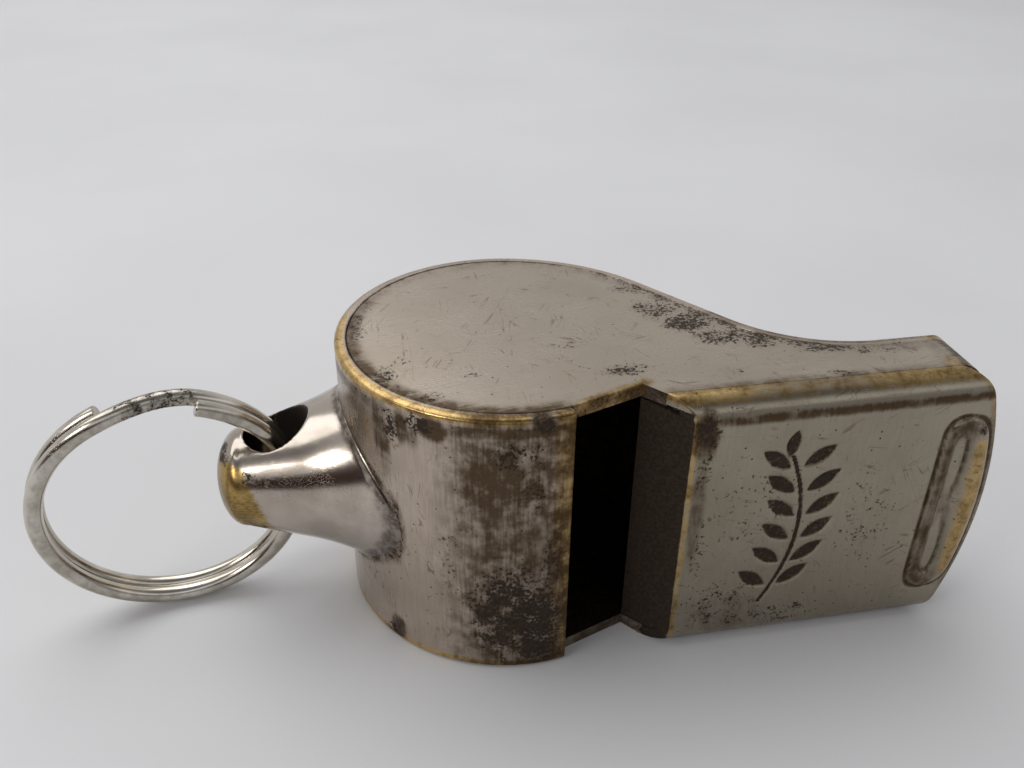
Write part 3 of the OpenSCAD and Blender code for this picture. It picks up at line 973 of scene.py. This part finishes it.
def worn_plating(name, light, shade, rough=0.25, grain=(0.35, 9, 9), grain_turn=(0, 0, 0), pit_rate=0.5,
                 scratch_turns=((0, 0, 62), (0, 0, 14), (0, 0, -31), (0, 0, 88), (0, 0, -63))):
    """Old nickel plating: stained and darkened with painted shade where the film mark says, pitted and
    scratched, worn through to brass where wear says.
    """
    s = Shader(name)
    wear, grime, film_and_painted_shade = (s.attribute(mark) for mark in MARKS)
    broad = s.noise(0.16)
    middle = s.noise(0.9, detail=4.0, rough=0.6)
    fine = s.noise(4.2, detail=4.0, rough=0.62)
    streak = s.noise(1.0, stretch=grain, turn=grain_turn)
    speck = s.noise(4.0, detail=4.0, rough=0.66, distortion=0.2)

    tarnish = s.step(s.total(grime, (speck, 1.7), (middle, 0.7), -1.2), 0.48, 0.62)
    blotch = s.step(s.total((middle, 0.75), (streak, 0.25)), 0.32, 0.66)
    haze_and_painted_shade = s.step(s.math("MULTIPLY", film_and_painted_shade, s.total(0.62, (blotch, 0.55))), 0.12, 0.85)
    worn = s.step(s.total(wear, (middle, 0.5), (fine, 0.3), (streak, 0.3), -0.55), 0.30, 0.66)
    dull = s.step(s.total((middle, 0.7), (fine, 0.5), (grime, 0.5)), 0.52, 0.84)
    pitted = s.step(broad, 0.88 - pit_rate, 1.04 - pit_rate)
    pit = s.math("MULTIPLY", s.step(s.cells(1.35), 0.115, 0.05), pitted)
    dots = s.math("MULTIPLY", s.step(s.cells(3.4, shift=(2, 5, 1)), 0.15, 0.06), s.step(middle, 0.52, 0.62))
    lines = 0.0
    for number, turn in enumerate(scratch_turns):
        shift = (5 * number, 3 * number, 2 * number)
        scratched = s.scratches(0.6, (0.12, 2.1, 2.1), turn, 0.017, 0.55, 0.555, shift)
        lines = s.math("MAXIMUM", scratched, lines)
    hair = s.scratches(1.3, (0.12, 5.0, 5.0), grain_turn, 0.02, 0.5, 0.5, (1, 8, 3))

    colour = s.mix(s.step(s.total((broad, 0.7), (streak, 0.3)), 0.34, 0.68), light, shade)
    colour = s.mix(s.step(fine, 0.42, 0.75, top=0.35), colour, shade)
    colour = s.mix(worn, colour, s.mix(dull, BRASS, BRASS_DULL))
    # Film haze: brown stains, and painted shade where the marks put it.
    colour = s.mix(s.math("MULTIPLY", haze_and_painted_shade, 0.93), colour, FILM_AND_PAINTED_SHADE)
    marked = s.math("MAXIMUM", lines, s.math("MULTIPLY", hair, 0.3))
    colour = s.mix(s.math("MULTIPLY", marked, 0.7), colour, BROWN)
    holes = s.math("MAXIMUM", s.math("MULTIPLY", pit, 0.85), s.math("MULTIPLY", dots, 0.7))
    colour = s.mix(holes, colour, TARNISH)
    colour = s.mix(tarnish, colour, s.mix(s.step(fine, 0.4, 0.6), TARNISH, TARNISH_LIGHT))
    roughness = s.total(rough, (broad, 0.1), (streak, 0.1), (haze_and_painted_shade, 0.14), (tarnish, 0.22), (lines, 0.1), -0.1)
    s.bump(s.total((streak, 0.35), (fine, 0.25), (lines, -0.3), (hair, -0.2), (pit, -3.0), (dots, -1.5),
                   (tarnish, -1.1), (middle, 0.5)), 0.012)
    return s.finish(Base_Color=colour, Roughness=roughness, Specular_IOR_Level=0.2,
                    Metallic=s.total(1.0, (tarnish, -0.6), (pit, -0.4)))


def polished_plating(name, light, shade, rough):
    """Smoother plating for the post and the ring, with stains, painted shade and worn places."""
    s = Shader(name)
    wear, grime, film_and_painted_shade = (s.attribute(mark) for mark in MARKS)
    broad = s.noise(0.35)
    middle = s.noise(1.6, detail=4.0, rough=0.6)
    speck = s.noise(4.5, detail=5.0, rough=0.7)
    streak = s.noise(1.4, stretch=(0.4, 7, 7))
    tarnish = s.step(s.total((grime, 1.35), (speck, 1.3), (middle, 0.9), -1.25), 0.46, 0.62)
    haze_and_painted_shade = s.step(s.math("MULTIPLY", film_and_painted_shade, s.total(0.6, (s.step(middle, 0.34, 0.66), 0.5))), 0.12, 0.9)
    worn = s.step(s.total(wear, (middle, 0.5), (streak, 0.3), -0.4), 0.30, 0.62)
    lines = s.scratches(0.9, (0.2, 4.2, 4.2), (0, 20, 35), 0.012, 0.4, 0.54)
    colour = s.mix(s.step(broad, 0.35, 0.65), light, shade)
    dull = s.step(s.total((broad, 0.6), (streak, 0.4)), 0.4, 0.62)
    colour = s.mix(worn, colour, s.mix(dull, NOSE_BRASS, NOSE_BRASS_DULL))
    # Film haze: stains, and painted shade in the eye's bore and between the coils.
    colour = s.mix(s.math("MULTIPLY", haze_and_painted_shade, 0.85), colour, POLISHED_FILM_AND_PAINTED_SHADE)
    colour = s.mix(s.math("MULTIPLY", lines, 0.4), colour, BROWN)
    colour = s.mix(tarnish, colour, (0.03, 0.023, 0.017))
    roughness = s.total(rough, (broad, 0.08), (streak, 0.08), (worn, 0.1), (tarnish, 0.35), (haze_and_painted_shade, 0.08),
                        -0.05)
    s.bump(s.total((streak, 0.3), (middle, 0.5), (lines, -0.6), (tarnish, -1.0)), 0.005)
    return s.finish(Base_Color=colour, Roughness=roughness, Metallic=s.total(1.0, (tarnish, -0.55)))


def dark_brass(name):
    s = Shader(name)
    middle = s.noise(1.2, detail=4.0)
    colour = s.mix(s.step(middle, 0.4, 0.65), (0.030, 0.024, 0.017), (0.09, 0.065, 0.035))
    s.bump(s.total((middle, 1.0), (s.noise(6.0), 0.4)), 0.02)
    return s.finish(Base_Color=colour, Roughness=s.total(0.5, (middle, 0.2)), Metallic=0.6)


def cork(name):
    s = Shader(name)
    pore = s.attribute("grime")
    grains = s.cells(1.1, stretch=(1, 1, 1.6))
    fine = s.noise(5.0, detail=4.0)
    colour = s.mix(s.step(grains, 0.1, 0.7), (0.50, 0.32, 0.16), (0.36, 0.21, 0.10))
    colour = s.mix(s.step(fine, 0.52, 0.66, top=0.6), colour, (0.20, 0.11, 0.05))
    colour = s.mix(pore, colour, (0.09, 0.045, 0.02))
    s.bump(s.total((fine, 1.0), (grains, 0.6)), 0.05)
    return s.finish(Base_Color=colour, Roughness=0.85)


def table_top(name):
    s = Shader(name)
    broad = s.noise(0.02)
    fine = s.noise(0.8, detail=4.0)
    colour = s.mix(s.step(broad, 0.3, 0.7), (0.70, 0.70, 0.71), (0.66, 0.66, 0.67))
    s.bump(fine, 0.02)
    return s.finish(Base_Color=colour, Roughness=s.total(0.55, (fine, 0.1)))


# ---- stage
FLOOR_HALF = 1.2
FLOOR_Z = -0.00003


def stage():
    """The floor, in metres, just under the whistle."""
    corners = [(x * FLOOR_HALF, y * FLOOR_HALF, FLOOR_Z) for x, y in ((-1, -1), (1, -1), (1, 1), (-1, 1))]
    mesh = bpy.data.meshes.new("table_top")
    mesh.from_pydata(corners, [], [range(4)])
    mesh.materials.append(table_top("table_top"))
    link_object("table_top", mesh)


CAMERA_AT = (-10.15, -55.97, 50.57)
CAMERA_TURN = (10.78, 31.63, -0.53)


def camera():
    """The camera stands on the window side, a little left of the barrel, looking down at the body."""
    azimuth, elevation, roll = (math.radians(a) for a in CAMERA_TURN)
    forward = Vector((math.sin(azimuth) * math.cos(elevation), math.cos(azimuth) * math.cos(elevation),
                      -math.sin(elevation)))
    right = Vector((math.cos(azimuth), -math.sin(azimuth), 0))
    down = forward.cross(right)
    turned_right = right * math.cos(roll) + down * math.sin(roll)
    turned_down = down * math.cos(roll) - right * math.sin(roll)
    data = bpy.data.cameras.new("camera")
    data.sensor_width = 36
    data.lens = 33.99
    data.clip_start = 0.001
    data.clip_end = 10
    obj = link_object("camera", data)
    axes = Matrix((turned_right, -turned_down, -forward)).transposed().to_4x4()
    obj.matrix_world = Matrix.Translation(Vector(CAMERA_AT) * MM) @ axes
    bpy.context.scene.camera = obj


LIGHT_DISTANCE = 0.45
LIGHT_AIM = Vector((0.005, 0, 0.01))


def softbox(name, direction, size, power, colour=(1, 1, 1)):
    """A soft light, sized in metres, facing the whistle from direction (azimuth from +X, elevation)."""
    azimuth, elevation = (math.radians(a) for a in direction)
    away = Vector((math.cos(azimuth) * math.cos(elevation), math.sin(azimuth) * math.cos(elevation),
                   math.sin(elevation)))
    data = bpy.data.lights.new(name, "AREA")
    data.shape = "RECTANGLE"
    data.size, data.size_y = size
    data.energy = power
    data.color = colour
    obj = link_object(name, data)
    obj.location = LIGHT_AIM + away * LIGHT_DISTANCE
    obj.rotation_mode = "QUATERNION"
    obj.rotation_quaternion = away.to_track_quat("Z", "Y")


def surroundings():
    """A pale room. In front it is dim above and below a bright band, and darkest low on the nose's side."""
    world = bpy.data.worlds.new("room")
    s = NodeTree(world)
    parts = s.node("ShaderNodeSeparateXYZ")
    s.put(parts.inputs[0], s.node("ShaderNodeTexCoord").outputs["Generated"])
    across, depth, height = (parts.outputs[axis] for axis in "XYZ")
    behind = s.mix(s.step(height, 0.0, 0.9), (0.92, 0.91, 0.90), (0.70, 0.71, 0.73))
    dark_corner = s.mix(s.step(across, -0.30, 0.0), (0.06, 0.027, 0.021), (0.42, 0.42, 0.43))
    low = s.mix(s.step(height, 0.30, 0.42), dark_corner, (1.1, 1.1, 1.12))
    before = s.mix(s.step(height, 0.50, 0.80), low, (0.22, 0.22, 0.23))
    background = s.node("ShaderNodeBackground")
    s.put(background.inputs["Color"], s.mix(s.step(depth, -0.35, 0.15), before, behind))
    s.put(background.inputs["Strength"], 0.72)
    s.put(s.node("ShaderNodeOutputWorld").inputs[0], background.outputs[0])
    bpy.context.scene.world = world


camera()
stage()
surroundings()
softbox("window_light", (128, 62), (0.56, 0.40), 1.15)
softbox("side_light", (209, 30), (0.14, 0.11), 0.26, (1.0, 0.98, 0.94))
bpy.context.scene.view_settings.view_transform = "Standard"

side_material = worn_plating("worn_side_plating", (0.47, 0.405, 0.335), (0.395, 0.335, 0.27),
                             grain=(0.35, 8, 8), grain_turn=(0, 0, 8), rough=0.28)
strip_material = worn_plating("worn_strip_plating", (0.55, 0.465, 0.39), (0.40, 0.33, 0.265),
                              grain=(6, 6, 0.5), pit_rate=0.55,
                              scratch_turns=((0, 78, 0), (0, 58, 0), (0, 97, 0)))
mouth_material = worn_plating("worn_mouthpiece_plating", (0.345, 0.305, 0.24), (0.285, 0.25, 0.19),
                              grain=(5, 5, 0.6), pit_rate=0.62,
                              scratch_turns=((0, 62, 0), (0, 14, 0), (0, -31, 0)))
post_material = polished_plating("polished_post_plating", (0.52, 0.46, 0.40), (0.42, 0.365, 0.31), 0.13)
ring_material = polished_plating("bright_ring_plating", (0.66, 0.62, 0.55), (0.52, 0.48, 0.41), 0.15)

side_plate("upper_side_plate", side_material, True)
side_plate("lower_side_plate", side_material, False)
barrel_strip(strip_material)
mouthpiece_plate(mouth_material)
ring_post(post_material)
split_ring(ring_material)
cork_pea(cork("cork"))
tongue = frame["nodes"]["windway_tongue"]
tongue.data.materials.clear()
tongue.data.materials.append(dark_brass("tarnished_brass"))
